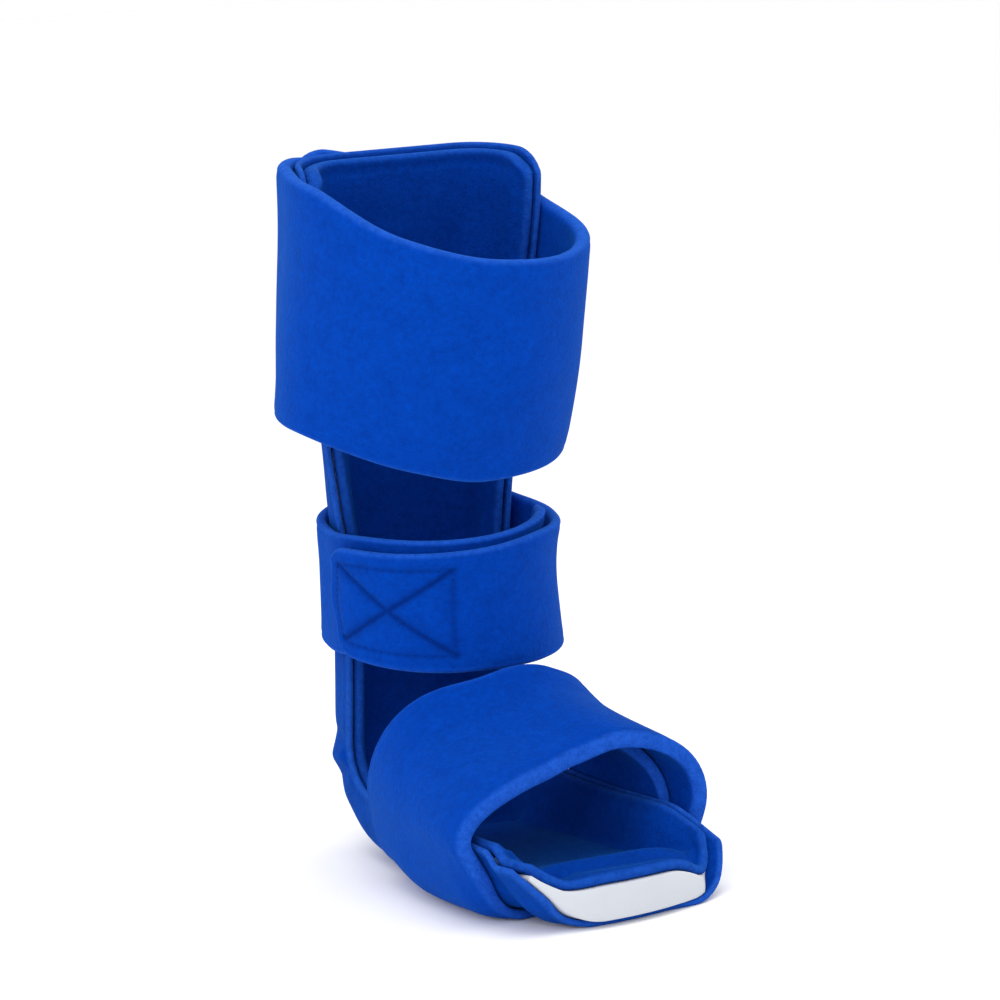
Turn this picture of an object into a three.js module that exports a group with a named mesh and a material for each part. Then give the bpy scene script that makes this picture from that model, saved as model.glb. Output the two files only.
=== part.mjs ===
// Night splint for the right foot: a padded trough in the shape of an L, a white stiff shell inside it
// whose thick toe end shows, and three padded straps: the calf strap, the ankle strap and the foot strap.
// Millimetres. +Z is up, the toe end points along -Y and +X is the inner side.
// The origin is on the floor, under the ankle.
import * as THREE from "three";
import { mergeVertices } from "three/addons/utils/BufferGeometryUtils.js";

// Trough: its run along the sole, round the heel and up the shin
const TOE_REACH = 190;
const HEEL_REACH = 65;
const HEEL_RADIUS = 62;
const SHIN_LENGTH = 301;
const LEAN = THREE.MathUtils.degToRad(9);
const SOLE_HALF_WIDTH = 51;
const SOLE_WING = 38;
const SHIN_HALF_WIDTH = 52;
const SHIN_WING = 36;
const CALF_HALF_WIDTH = 65;
const CALF_WING = 42;

// Layers of the trough, from the outside in
const COVER_THICKNESS = 3.2;
const SHELL_THICKNESS = 2.6;
const LINER_THICKNESS = 5;
const GAP = 0.5;
const LINER_GAP = 0.8;
const SHELL_RIM_MARGIN = 9;
const SHELL_TOP_MARGIN = 10;
const LINER_RIM_MARGIN = 1;
const LINER_TOP_MARGIN = 2;

// Toe end
const NOSE_THICKNESS = 17;
const NOSE_RAMP = 75;
const NOSE_ROUNDING = 30;
const NOSE_OUTER_ROUNDING = 10;
const NOSE_RIM_MARGIN = 4;
const COVER_TOE_SETBACK = 7;
const LINER_TOE_SETBACK = 3;

// Space that the straps are drawn round
const TOE_BODY_HEIGHT = 50;
const INSTEP_HEIGHT = 87;
const ANKLE_DEPTH = 86;
const CALF_DEPTH = 118;

// Straps
const CALF_STRAP_WIDTH = 120;
const CALF_STRAP_THICKNESS = 8.5;
const CALF_STRAP_LEVEL = 169;
const ANKLE_STRAP_WIDTH = 64;
const ANKLE_STRAP_THICKNESS = 6;
const ANKLE_STRAP_LEVEL = 59;
const HOOK_PATCH_THICKNESS = 1.4;
const FOOT_STRAP_WIDTH = 138;
const FOOT_STRAP_THICKNESS = 8.5;
const FOOT_STRAP_SOLE_THICKNESS = 5;
const FOOT_STRAP_LAP_THICKNESS = 6.5;
const FOOT_STRAP_REAR = 29;
const STRAP_CLEARANCE = 1.2;
const PATCH_CLEARANCE = 0.7;

const BLUE = 0x0a44b4;
const WHITE = 0xd8dbe3;

// Places along the trough, measured from the toe
const SOLE_LENGTH = TOE_REACH + HEEL_REACH - HEEL_RADIUS;
const HEEL_TURN = Math.PI / 2 + LEAN;
const HEEL_LENGTH = HEEL_RADIUS * HEEL_TURN;
const SHIN_START = SOLE_LENGTH + HEEL_LENGTH;
const TROUGH_LENGTH = SHIN_START + SHIN_LENGTH;
const sole = (share) => TOE_REACH * (1 - share);
const heel = (share) => SOLE_LENGTH + share * HEEL_LENGTH;
const shin = (share) => SHIN_START + share * SHIN_LENGTH;

const SHELL_BASE = COVER_THICKNESS + GAP;
const LINER_BASE = SHELL_BASE + SHELL_THICKNESS + LINER_GAP;
const STACK = LINER_BASE + LINER_THICKNESS;
const SOLE_TUCK = FOOT_STRAP_SOLE_THICKNESS + STRAP_CLEARANCE;
const FOOT_STRAP_TOE_EDGE = TOE_REACH - FOOT_STRAP_REAR - FOOT_STRAP_WIDTH;
const TUCK_START = TOE_REACH - FOOT_STRAP_REAR + GAP;
const TUCK_EASE = 14;
const TOE_EASE = 9.5;
const TUCK_END = FOOT_STRAP_TOE_EDGE + 0.06 * FOOT_STRAP_WIDTH;

// Section of the trough: half width and wing height at each rim, corner radius and outward flare in degrees
const TROUGH_ROWS = [
  {
    at: sole(1), outerHalf: 0.98 * SOLE_HALF_WIDTH, innerHalf: 1.5 * SOLE_HALF_WIDTH,
    outer: 0.87 * SOLE_WING, inner: 0.38 * SOLE_WING, corner: 0.31 * SOLE_HALF_WIDTH, flare: 42,
  },
  {
    at: sole(0.86), outerHalf: 1.06 * SOLE_HALF_WIDTH, innerHalf: 1.48 * SOLE_HALF_WIDTH,
    outer: 0.88 * SOLE_WING, inner: 0.46 * SOLE_WING, corner: 0.31 * SOLE_HALF_WIDTH, flare: 33,
  },
  {
    at: sole(0.72), outerHalf: 1.12 * SOLE_HALF_WIDTH, innerHalf: 1.18 * SOLE_HALF_WIDTH,
    outer: 0.95 * SOLE_WING, inner: 0.94 * SOLE_WING, corner: 0.32 * SOLE_HALF_WIDTH, flare: 17,
  },
  {
    at: sole(0.45), outerHalf: 1.12 * SOLE_HALF_WIDTH, innerHalf: SOLE_HALF_WIDTH,
    outer: SOLE_WING, inner: SOLE_WING, corner: 0.34 * SOLE_HALF_WIDTH, flare: 10,
  },
  {
    at: sole(0.15), outerHalf: SOLE_HALF_WIDTH, innerHalf: 0.92 * SOLE_HALF_WIDTH,
    outer: SOLE_WING, inner: SOLE_WING, corner: 0.46 * SOLE_HALF_WIDTH, flare: 8,
  },
  {
    at: heel(0.1), outerHalf: 0.92 * SOLE_HALF_WIDTH, innerHalf: 0.88 * SOLE_HALF_WIDTH,
    outer: 1.02 * SOLE_WING, inner: 1.02 * SOLE_WING, corner: 0.56 * SOLE_HALF_WIDTH, flare: 6,
  },
  {
    at: heel(0.5), outerHalf: 0.9 * SHIN_HALF_WIDTH, innerHalf: 0.88 * SHIN_HALF_WIDTH,
    outer: 1.1 * SHIN_WING, inner: 1.1 * SHIN_WING, corner: 0.58 * SHIN_HALF_WIDTH, flare: 5,
  },
  {
    at: heel(0.9), outerHalf: 0.9 * SHIN_HALF_WIDTH, innerHalf: 0.92 * SHIN_HALF_WIDTH,
    outer: 1.15 * SHIN_WING, inner: 1.15 * SHIN_WING, corner: 0.54 * SHIN_HALF_WIDTH, flare: 6,
  },
  {
    at: shin(0.141), outerHalf: 0.9 * SHIN_HALF_WIDTH, innerHalf: 0.94 * SHIN_HALF_WIDTH,
    outer: 1.2 * SHIN_WING, inner: 1.2 * SHIN_WING, corner: 0.52 * SHIN_HALF_WIDTH, flare: 5,
  },
  {
    at: shin(0.283), outerHalf: 0.9 * SHIN_HALF_WIDTH, innerHalf: 0.9 * SHIN_HALF_WIDTH,
    outer: 1.18 * SHIN_WING, inner: 1.18 * SHIN_WING, corner: 0.52 * SHIN_HALF_WIDTH, flare: 4,
  },
  {
    at: shin(0.407), outerHalf: 0.98 * SHIN_HALF_WIDTH, innerHalf: 0.96 * SHIN_HALF_WIDTH,
    outer: 1.08 * SHIN_WING, inner: 1.08 * SHIN_WING, corner: 0.54 * SHIN_HALF_WIDTH, flare: 9,
  },
  {
    at: shin(0.529), outerHalf: 1.07 * SHIN_HALF_WIDTH, innerHalf: 1.07 * SHIN_HALF_WIDTH,
    outer: SHIN_WING, inner: SHIN_WING, corner: 0.54 * SHIN_HALF_WIDTH, flare: 16,
  },
  {
    at: shin(0.713), outerHalf: 0.98 * CALF_HALF_WIDTH, innerHalf: 0.92 * CALF_HALF_WIDTH,
    outer: 0.95 * CALF_WING, inner: 0.95 * CALF_WING, corner: 0.48 * CALF_HALF_WIDTH, flare: 14,
  },
  {
    at: shin(1), outerHalf: 1.04 * CALF_HALF_WIDTH, innerHalf: CALF_HALF_WIDTH,
    outer: CALF_WING, inner: CALF_WING, corner: 0.48 * CALF_HALF_WIDTH, flare: 12,
  },
];

// Open front that the straps are drawn over: its distance from the liner, the place of its crest and the width
// of its shoulders as shares of the half width
const BODY_ROWS = [
  { at: sole(1), front: 0.72 * TOE_BODY_HEIGHT, crest: 0.36, shoulder: 0.66 },
  { at: sole(0.7), front: TOE_BODY_HEIGHT, crest: 0.36, shoulder: 0.66 },
  { at: sole(0.45), front: 0.72 * INSTEP_HEIGHT, crest: 0.2, shoulder: 0.6 },
  { at: sole(0.2), front: INSTEP_HEIGHT, crest: 0.08, shoulder: 0.5 },
  { at: heel(0.6), front: ANKLE_DEPTH, crest: 0, shoulder: 0.55 },
  { at: shin(0.283), front: ANKLE_DEPTH, crest: 0, shoulder: 0.6 },
  { at: shin(0.489), front: 1.1 * ANKLE_DEPTH, crest: 0, shoulder: 0.62 },
  { at: shin(0.713), front: 0.96 * CALF_DEPTH, crest: 0, shoulder: 0.62 },
  { at: shin(1), front: CALF_DEPTH, crest: 0, shoulder: 0.62 },
];

// Course of each strap: turn counts from the middle of the back or sole, 0.25 is the outer side, 0.5 the front
// and 0.75 the inner side; low and high are shares of the width, lift is the share of the layer below, thick and
// flare (how far the lower edge stands out) are shares of the thickness
const CALF_STRAP_ROWS = [
  { turn: 0.03, low: 0, high: 1.04, lift: 0, thick: 1, flare: 0.4 },
  { turn: 0.14, low: 0.03, high: 1.1, lift: 0, thick: 1, flare: 1.2 },
  { turn: 0.27, low: 0.05, high: 1.09, lift: 0, thick: 1, flare: 1.9 },
  { turn: 0.4, low: -0.07, high: 0.93, lift: 0, thick: 1, flare: 0.6 },
  { turn: 0.5, low: -0.14, high: 0.84, lift: 0, thick: 1, flare: 0 },
  { turn: 0.6, low: -0.14, high: 0.81, lift: 0, thick: 1, flare: 0 },
  { turn: 0.75, low: -0.1, high: 0.85, lift: 0, thick: 1, flare: 0 },
  { turn: 0.92, low: 0, high: 0.98, lift: 0.3, thick: 1, flare: 0.2 },
  { turn: 1, low: 0.01, high: 1.03, lift: 1, thick: 1, flare: 0.4 },
  { turn: 1.1, low: 0.02, high: 1.1, lift: 1, thick: 1, flare: 0.8 },
];
const ANKLE_STRAP_ROWS = [
  { turn: -0.72, low: 0.02, high: 0.77, lift: 1, thick: 0.9, flare: 0 },
  { turn: -0.69, low: -0.07, high: 0.84, lift: 1, thick: 1, flare: 0 },
  { turn: -0.6, low: -0.1, high: 0.88, lift: 1, thick: 1, flare: 0 },
  { turn: -0.5, low: -0.11, high: 0.92, lift: 1, thick: 1, flare: 0 },
  { turn: -0.42, low: -0.14, high: 0.95, lift: 1, thick: 1, flare: 0.3 },
  { turn: -0.28, low: -0.2, high: 0.88, lift: 1, thick: 1, flare: 0.6 },
  { turn: -0.18, low: -0.14, high: 0.9, lift: 0.4, thick: 1, flare: 0.3 },
  { turn: -0.1, low: -0.06, high: 0.94, lift: 0, thick: 1, flare: 0 },
  { turn: 0.2, low: -0.2, high: 0.84, lift: 0, thick: 1, flare: 0 },
  { turn: 0.35, low: -0.06, high: 0.94, lift: 0, thick: 1, flare: 0 },
  { turn: 0.5, low: -0.02, high: 0.97, lift: 0, thick: 1, flare: 0 },
  { turn: 0.66, low: 0.04, high: 0.99, lift: 0, thick: 1, flare: 0 },
  { turn: 0.71, low: 0.1, high: 0.95, lift: 0, thick: 0.9, flare: 0 },
];
const HOOK_PATCH_ROWS = [
  { turn: -0.7, low: 0.06, high: 0.76, lift: 0, thick: 1, flare: 0 },
  { turn: -0.56, low: 0, high: 0.8, lift: 0, thick: 1, flare: 0 },
];
const FOOT_STRAP_ROWS = [
  {
    turn: -0.38, low: 0.4, high: 0.84, lift: 0,
    thick: FOOT_STRAP_LAP_THICKNESS / FOOT_STRAP_THICKNESS, flare: 0,
  },
  {
    turn: -0.19, low: 0.22, high: 0.94, lift: 0,
    thick: FOOT_STRAP_LAP_THICKNESS / FOOT_STRAP_THICKNESS, flare: 0,
  },
  {
    turn: -0.13, low: 0.2, high: 0.98, lift: 0,
    thick: FOOT_STRAP_SOLE_THICKNESS / FOOT_STRAP_THICKNESS, flare: 0,
  },
  { turn: 0, low: 0.17, high: 1, lift: 0, thick: FOOT_STRAP_SOLE_THICKNESS / FOOT_STRAP_THICKNESS, flare: 0 },
  {
    turn: 0.11, low: 0.12, high: 1, lift: 0,
    thick: FOOT_STRAP_SOLE_THICKNESS / FOOT_STRAP_THICKNESS, flare: 0,
  },
  { turn: 0.2, low: 0.08, high: 0.99, lift: 0, thick: 1, flare: 0 },
  { turn: 0.33, low: 0.12, high: 0.9, lift: 0, thick: 1, flare: 0 },
  { turn: 0.43, low: 0.16, high: 0.81, lift: 0, thick: 1, flare: 0 },
  { turn: 0.5, low: 0.18, high: 0.75, lift: 0.35, thick: 1, flare: 0 },
  { turn: 0.59, low: 0.18, high: 0.74, lift: 1, thick: 1, flare: 0 },
  { turn: 0.66, low: 0.19, high: 0.8, lift: 1, thick: 1, flare: 0 },
  { turn: 0.74, low: 0.2, high: 0.9, lift: 1, thick: 1, flare: 0 },
  { turn: 0.82, low: 0.22, high: 0.94, lift: 1, thick: 0.9, flare: 0 },
];

// Value of one column of a table at a place along its key, on a smooth curve through its rows
function columnAt(rows, key, column, at) {
  const last = rows.length - 1;
  if (at <= rows[0][key]) return rows[0][column];
  if (at >= rows[last][key]) return rows[last][column];
  const i = rows.findIndex((row) => row[key] > at) - 1;
  const slope = (a, b) => (rows[b][column] - rows[a][column]) / (rows[b][key] - rows[a][key]);
  const own = slope(i, i + 1);
  const tangent = (k) => {
    if (k === 0 || k === last) return 0;
    const before = slope(k - 1, k);
    const after = slope(k, k + 1);
    return before * after <= 0 ? 0 : (2 * before * after) / (before + after);
  };
  const span = rows[i + 1][key] - rows[i][key];
  const t = (at - rows[i][key]) / span;
  const m0 = tangent(i) * span;
  const m1 = tangent(i + 1) * span;
  const rise = own * span;
  return rows[i][column] + m0 * t + (3 * rise - 2 * m0 - m1) * t * t + (m0 + m1 - 2 * rise) * t * t * t;
}

const smooth = (edge0, edge1, x) => THREE.MathUtils.smoothstep(x, edge0, edge1);

// Height of the sole above the floor: it steps up to leave room for the foot strap under it
const soleHeight = (at) =>
  SOLE_TUCK * (1 - smooth(TUCK_START, TUCK_START + TUCK_EASE, at)) * smooth(TUCK_END - TOE_EASE, TUCK_END, at);

// Place in the plane of a section: x across, inward from the outer face into the trough
function place(at, x, inward) {
  if (at <= SOLE_LENGTH) return new THREE.Vector3(x, at - TOE_REACH, soleHeight(at) + inward);
  const turn = Math.min((at - SOLE_LENGTH) / HEEL_RADIUS, HEEL_TURN);
  const up = Math.max(at - SHIN_START, 0);
  return new THREE.Vector3(
    x,
    HEEL_REACH - HEEL_RADIUS + (HEEL_RADIUS - inward) * Math.sin(turn) - up * Math.sin(LEAN),
    HEEL_RADIUS - (HEEL_RADIUS - inward) * Math.cos(turn) + up * Math.cos(LEAN),
  );
}

// Half of the trough's section: flat back, round corner and straight wing. side is -1 outer, 1 inner
function halfSection(at, side) {
  const flare = THREE.MathUtils.degToRad(columnAt(TROUGH_ROWS, "at", "flare", at));
  const corner = columnAt(TROUGH_ROWS, "at", "corner", at);
  const height = columnAt(TROUGH_ROWS, "at", side < 0 ? "outer" : "inner", at);
  const turn = Math.PI / 2 - flare;
  const wing = Math.max((height - corner * (1 - Math.cos(turn))) / Math.sin(turn), 1);
  const width = columnAt(TROUGH_ROWS, "at", side < 0 ? "outerHalf" : "innerHalf", at);
  const flat = width - corner * Math.sin(turn) - wing * Math.cos(turn);
  return { side, flat, corner, turn, wing, bend: flat + corner * turn, length: flat + corner * turn + wing };
}

// Point of half a section at a run from its middle, moved inwards by an offset
function sectionPoint(half, run, offset) {
  const turn = THREE.MathUtils.clamp((run - half.flat) / half.corner, 0, half.turn);
  const straight = Math.max(run - half.bend, 0);
  const x = Math.min(run, half.flat) + half.corner * Math.sin(turn) + straight * Math.cos(turn);
  const inward = half.corner * (1 - Math.cos(turn)) + straight * Math.sin(turn);
  return { x: half.side * (x - offset * Math.sin(turn)), inward: inward + offset * Math.cos(turn) };
}

// Rise of the shell's upper face over its thick toe end: it dies out up the outer wing, and in the inner corner
function noseRise(at, half, run) {
  const along = 1 - smooth(0, NOSE_RAMP, at);
  const end = half.side < 0 ? half.length - NOSE_RIM_MARGIN : half.bend;
  return (NOSE_THICKNESS - SHELL_THICKNESS) * along * (1 - smooth(0.7 * half.flat, end, run));
}

// Share of the full thickness at a distance from a round edge
function roundness(distance, edge) {
  const d = THREE.MathUtils.clamp(distance / edge, 0, 1);
  return Math.sqrt(1 - (1 - d) * (1 - d));
}

// Closed mesh of a pad from its lower and upper grids of points, which share their outer edge
function padGeometry(lower, upper) {
  const positions = [];
  const quad = (a, b, c, d) => [a, b, c, a, c, d].forEach((p) => positions.push(p.x, p.y, p.z));
  for (let i = 0; i + 1 < lower.length; i++)
    for (let j = 0; j + 1 < lower[0].length; j++) {
      quad(upper[i][j], upper[i + 1][j], upper[i + 1][j + 1], upper[i][j + 1]);
      quad(lower[i][j], lower[i][j + 1], lower[i + 1][j + 1], lower[i + 1][j]);
    }
  const geometry = new THREE.BufferGeometry();
  geometry.setAttribute("position", new THREE.Float32BufferAttribute(positions, 3));
  const merged = mergeVertices(geometry, 1e-4);
  merged.computeVertexNormals();
  return merged;
}

// Steps from one value to another, both included
const steps = (from, to, count) => Array.from({ length: count + 1 }, (_, k) => from + ((to - from) * k) / count);

// Places along the trough where its layers have a row, from the top end to the start of the toe
const TOE_START = sole(0.6);
function troughStations(top, edge) {
  return [
    top,
    top - 0.3 * edge,
    top - edge,
    ...steps(TROUGH_LENGTH - 1.5 * SHELL_TOP_MARGIN, SHIN_START, 7).slice(0, -1),
    ...steps(SHIN_START, SOLE_LENGTH, 8).slice(0, -1),
    ...steps(SOLE_LENGTH, TUCK_START + TUCK_EASE, 2).slice(0, -1),
    ...steps(TUCK_START + TUCK_EASE, TUCK_START, 3).slice(0, -1),
    ...steps(TUCK_START, TOE_START, 2),
  ];
}

// Distance of the shell's rim from the trough's rim
const shellMargin = (half) => Math.min(SHELL_RIM_MARGIN, Math.max(half.wing - 3, 0.5));

// One layer of the trough. low gives its outer face's offset, toeEdge its front at a share of the way to its rim
function troughLayer({ top, edge, margin, thickness, low, rise, toeEdge }) {
  const rims = [0, 0.3, 1].map((share) => share * edge);
  const columns = (half) => {
    const rim = half.length - margin(half);
    const corner = half.corner * half.turn;
    const past = shellMargin(half) > margin(half) ? [half.length - shellMargin(half)] : [];
    return [
      0,
      half.flat,
      ...[1, 2, 3].map((k) => half.flat + (corner * k) / 3),
      ...past,
      ...rims.toReversed().map((back) => rim - back),
    ];
  };
  const lower = [];
  const upper = [];
  const addRow = (atOf, endFade) => {
    const low1 = [];
    const high1 = [];
    for (const side of [-1, 1]) {
      const count = columns(halfSection(atOf(0), side)).length;
      for (let k = 0; k < count; k++) {
        const index = side < 0 ? count - 1 - k : k;
        if (side > 0 && k === 0) continue;
        const guess = halfSection(atOf(0), side);
        const share = columns(guess)[index] / guess.length;
        const at = atOf(side * share);
        const half = halfSection(at, side);
        const run = columns(half)[index];
        const fade = endFade * roundness(half.length - margin(half) - run, edge);
        const base = low(half, run);
        const lift = rise(at, half, run);
        const middle = base + thickness(half, run) / 2;
        const under = sectionPoint(half, run, middle - (fade * thickness(half, run)) / 2);
        const over = sectionPoint(half, run, middle + (fade * thickness(half, run)) / 2);
        low1.push(place(at, under.x, under.inward + lift.under + ((1 - fade) * (lift.over - lift.under)) / 2));
        high1.push(place(at, over.x, over.inward + lift.over - ((1 - fade) * (lift.over - lift.under)) / 2));
      }
    }
    lower.push(low1);
    upper.push(high1);
  };
  troughStations(top, edge).forEach((at) => addRow(() => at, roundness(top - at, edge)));
  for (const share of [0.2, 0.4, 0.6, 0.75, 0.88])
    addRow((side) => TOE_START + share * (noseEdge(side) - TOE_START), 1);
  for (const back of rims.toReversed()) addRow((side) => toeEdge(side) + back, roundness(back, edge));
  return padGeometry(lower, upper);
}

const group = new THREE.Group();

function addNode(name, geometry, colour, roughnessValue) {
  const material = new THREE.MeshStandardMaterial({ color: colour, roughness: roughnessValue, metalness: 0 });
  const mesh = new THREE.Mesh(geometry, material);
  mesh.name = name;
  group.add(mesh);
}

// Front of the shell at a share of the way to its rim, below 0 on the outer side, where it is less round, and the
// front of the cover, which is set back in the middle
const noseEdge = (share) => (share < 0 ? NOSE_OUTER_ROUNDING : NOSE_ROUNDING) * share * share;
const coverEdge = (share) => noseEdge(share) + COVER_TOE_SETBACK * (1 - smooth(0.35, 0.7, Math.abs(share)));

addNode(
  "outer_cover",
  troughLayer({
    top: TROUGH_LENGTH,
    edge: COVER_THICKNESS / 2,
    margin: () => 0,
    thickness: () => COVER_THICKNESS,
    low: () => 0,
    rise: () => ({ under: 0, over: 0 }),
    toeEdge: coverEdge,
  }),
  BLUE,
  0.9,
);

addNode(
  "shell",
  troughLayer({
    top: TROUGH_LENGTH - SHELL_TOP_MARGIN,
    edge: SHELL_THICKNESS / 2,
    margin: shellMargin,
    thickness: () => SHELL_THICKNESS,
    low: () => SHELL_BASE,
    rise: (at, half, run) => ({ under: 0, over: noseRise(at, half, run) }),
    toeEdge: noseEdge,
  }),
  WHITE,
  0.4,
);

// The liner closes on the cover past the shell's rim, where there is room for it
const pastShell = (half, run) =>
  smooth(half.length - shellMargin(half), half.length - 3, run) * smooth(3, SHELL_RIM_MARGIN, shellMargin(half));
addNode(
  "inner_liner",
  troughLayer({
    top: TROUGH_LENGTH - LINER_TOP_MARGIN,
    edge: LINER_THICKNESS / 2,
    margin: () => LINER_RIM_MARGIN,
    thickness: () => LINER_THICKNESS,
    low: (half, run) => LINER_BASE - SHELL_THICKNESS * pastShell(half, run),
    rise: (at, half, run) => ({ under: noseRise(at, half, run), over: noseRise(at, half, run) }),
    toeEdge: (share) => noseEdge(share) + LINER_TOE_SETBACK,
  }),
  BLUE,
  0.9,
);

// Closed line of a strap's inner face in one section: round the trough's outside, then over its open front.
// It starts and ends at the middle of the back and goes to the outer side first
const LOOP_STEPS = 20;
function strapLoop(at) {
  const front = STACK + columnAt(BODY_ROWS, "at", "front", at);
  const shoulder = columnAt(BODY_ROWS, "at", "shoulder", at);
  const outer = halfSection(at, -1);
  const inner = halfSection(at, 1);
  const crest = columnAt(BODY_ROWS, "at", "crest", at) * sectionPoint(inner, inner.length, 0).x;
  const halfLoop = (half) => {
    const points = steps(0, half.length, LOOP_STEPS).map((run) => sectionPoint(half, run, 0));
    const rim = points.at(-1);
    const start = new THREE.Vector2(rim.x, rim.inward);
    const reach = front - rim.inward;
    const along = new THREE.Vector2(half.side * Math.cos(half.turn), Math.sin(half.turn));
    along.multiplyScalar(0.55 * reach);
    const curve = new THREE.CubicBezierCurve(
      start,
      start.clone().add(along),
      new THREE.Vector2(crest + shoulder * (rim.x - crest), front),
      new THREE.Vector2(crest, front),
    );
    return [...points, ...curve.getPoints(LOOP_STEPS).slice(1).map((p) => ({ x: p.x, inward: p.y }))];
  };
  const left = halfLoop(outer);
  const right = halfLoop(inner).toReversed().slice(1);
  const points = [...left, ...right].map((p) => new THREE.Vector2(p.x, p.inward));
  const lengths = [0];
  for (let k = 1; k < points.length; k++) lengths.push(lengths[k - 1] + points[k].distanceTo(points[k - 1]));
  return { points, lengths };
}

// Point of a loop at a turn, moved outwards
function loopPoint(loop, turn, outwards) {
  const total = loop.lengths.at(-1);
  const wanted = (turn - Math.floor(turn)) * total;
  const k = Math.min(Math.max(loop.lengths.findIndex((length) => length > wanted), 1), loop.points.length - 1);
  const share = (wanted - loop.lengths[k - 1]) / (loop.lengths[k] - loop.lengths[k - 1]);
  const tangentAt = (i) => {
    const count = loop.points.length - 1;
    const before = loop.points[(i - 1 + count) % count];
    const after = loop.points[(i + 1) % count];
    return after.clone().sub(before).normalize();
  };
  const tangent = tangentAt(k - 1).lerp(tangentAt(k % (loop.points.length - 1)), share).normalize();
  const point = loop.points[k - 1].clone().lerp(loop.points[k], share);
  return { x: point.x - tangent.y * outwards, inward: point.y + tangent.x * outwards };
}

// Padded strap wound along its course over the loops of the sections that it crosses
function strapGeometry({ rows, level, width, thickness, edge, layer, spread, base, count }) {
  const first = rows[0].turn;
  const last = rows.at(-1).turn;
  const endShare = (0.5 * edge) / 200;
  const turns = [
    first, first + 0.3 * endShare,
    ...steps(first + endShare, last - endShare, count),
    last - 0.3 * endShare, last,
  ];
  const heights = [
    0, 0.3 * edge, edge,
    ...steps(edge, width - edge, spread).slice(1, -1),
    width - edge, width - 0.3 * edge, width,
  ];
  const lower = [];
  const upper = [];
  for (const turn of turns) {
    const value = (column) => columnAt(rows, "turn", column, turn);
    const low = level + value("low") * width;
    const high = level + value("high") * width;
    const fadeEnd = roundness(Math.min(turn - first, last - turn), endShare);
    const lowRow = [];
    const highRow = [];
    for (const height of heights) {
      const at = low + ((high - low) * height) / width;
      const loop = strapLoop(at);
      const full = thickness * value("thick");
      const fade = fadeEnd * roundness(Math.min(height, width - height), edge);
      const stand = base + layer * value("lift") + thickness * value("flare") * (1 - height / width) ** 2;
      const inner = stand + (full * (1 - fade)) / 2;
      const outer = stand + (full * (1 + fade)) / 2;
      const a = loopPoint(loop, turn, inner);
      const b = loopPoint(loop, turn, outer);
      lowRow.push(place(at, a.x, a.inward));
      highRow.push(place(at, b.x, b.inward));
    }
    lower.push(lowRow);
    upper.push(highRow);
  }
  return padGeometry(lower, upper);
}

addNode(
  "calf_strap",
  strapGeometry({
    rows: CALF_STRAP_ROWS,
    level: SHIN_START + CALF_STRAP_LEVEL,
    width: CALF_STRAP_WIDTH,
    thickness: CALF_STRAP_THICKNESS,
    edge: CALF_STRAP_THICKNESS / 2,
    layer: CALF_STRAP_THICKNESS + STRAP_CLEARANCE,
    base: STRAP_CLEARANCE,
    spread: 3,
    count: 44,
  }),
  BLUE,
  0.9,
);

addNode(
  "ankle_strap",
  strapGeometry({
    rows: ANKLE_STRAP_ROWS,
    level: SHIN_START + ANKLE_STRAP_LEVEL,
    width: ANKLE_STRAP_WIDTH,
    thickness: ANKLE_STRAP_THICKNESS,
    edge: ANKLE_STRAP_THICKNESS / 2,
    layer: ANKLE_STRAP_THICKNESS + HOOK_PATCH_THICKNESS + 2 * PATCH_CLEARANCE,
    base: STRAP_CLEARANCE,
    spread: 2,
    count: 56,
  }),
  BLUE,
  0.9,
);

addNode(
  "ankle_hook_patch",
  strapGeometry({
    rows: HOOK_PATCH_ROWS,
    level: SHIN_START + ANKLE_STRAP_LEVEL,
    width: ANKLE_STRAP_WIDTH,
    thickness: HOOK_PATCH_THICKNESS,
    edge: HOOK_PATCH_THICKNESS / 2,
    layer: 0,
    base: STRAP_CLEARANCE + ANKLE_STRAP_THICKNESS + PATCH_CLEARANCE,
    spread: 2,
    count: 8,
  }),
  BLUE,
  0.9,
);

addNode(
  "foot_strap",
  strapGeometry({
    rows: FOOT_STRAP_ROWS,
    level: FOOT_STRAP_TOE_EDGE,
    width: FOOT_STRAP_WIDTH,
    thickness: FOOT_STRAP_THICKNESS,
    edge: FOOT_STRAP_SOLE_THICKNESS / 2,
    layer: FOOT_STRAP_LAP_THICKNESS + STRAP_CLEARANCE,
    base: STRAP_CLEARANCE,
    spread: 7,
    count: 44,
  }),
  BLUE,
  0.9,
);

export default group;
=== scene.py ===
"""Night splint, the right one of a pair: padded trough, stiff shell and three padded straps.

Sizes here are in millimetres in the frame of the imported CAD: +Z is up, the toe end points along -Y, +X is the
inner side, and the origin is on the floor under the heel end. Meshes are written in metres.
"""

from __future__ import annotations

import logging
import math
from collections.abc import Sequence
from dataclasses import dataclass
from enum import Enum
from functools import cached_property

import bpy
import numpy as np
from mathutils import Matrix, Vector

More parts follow.
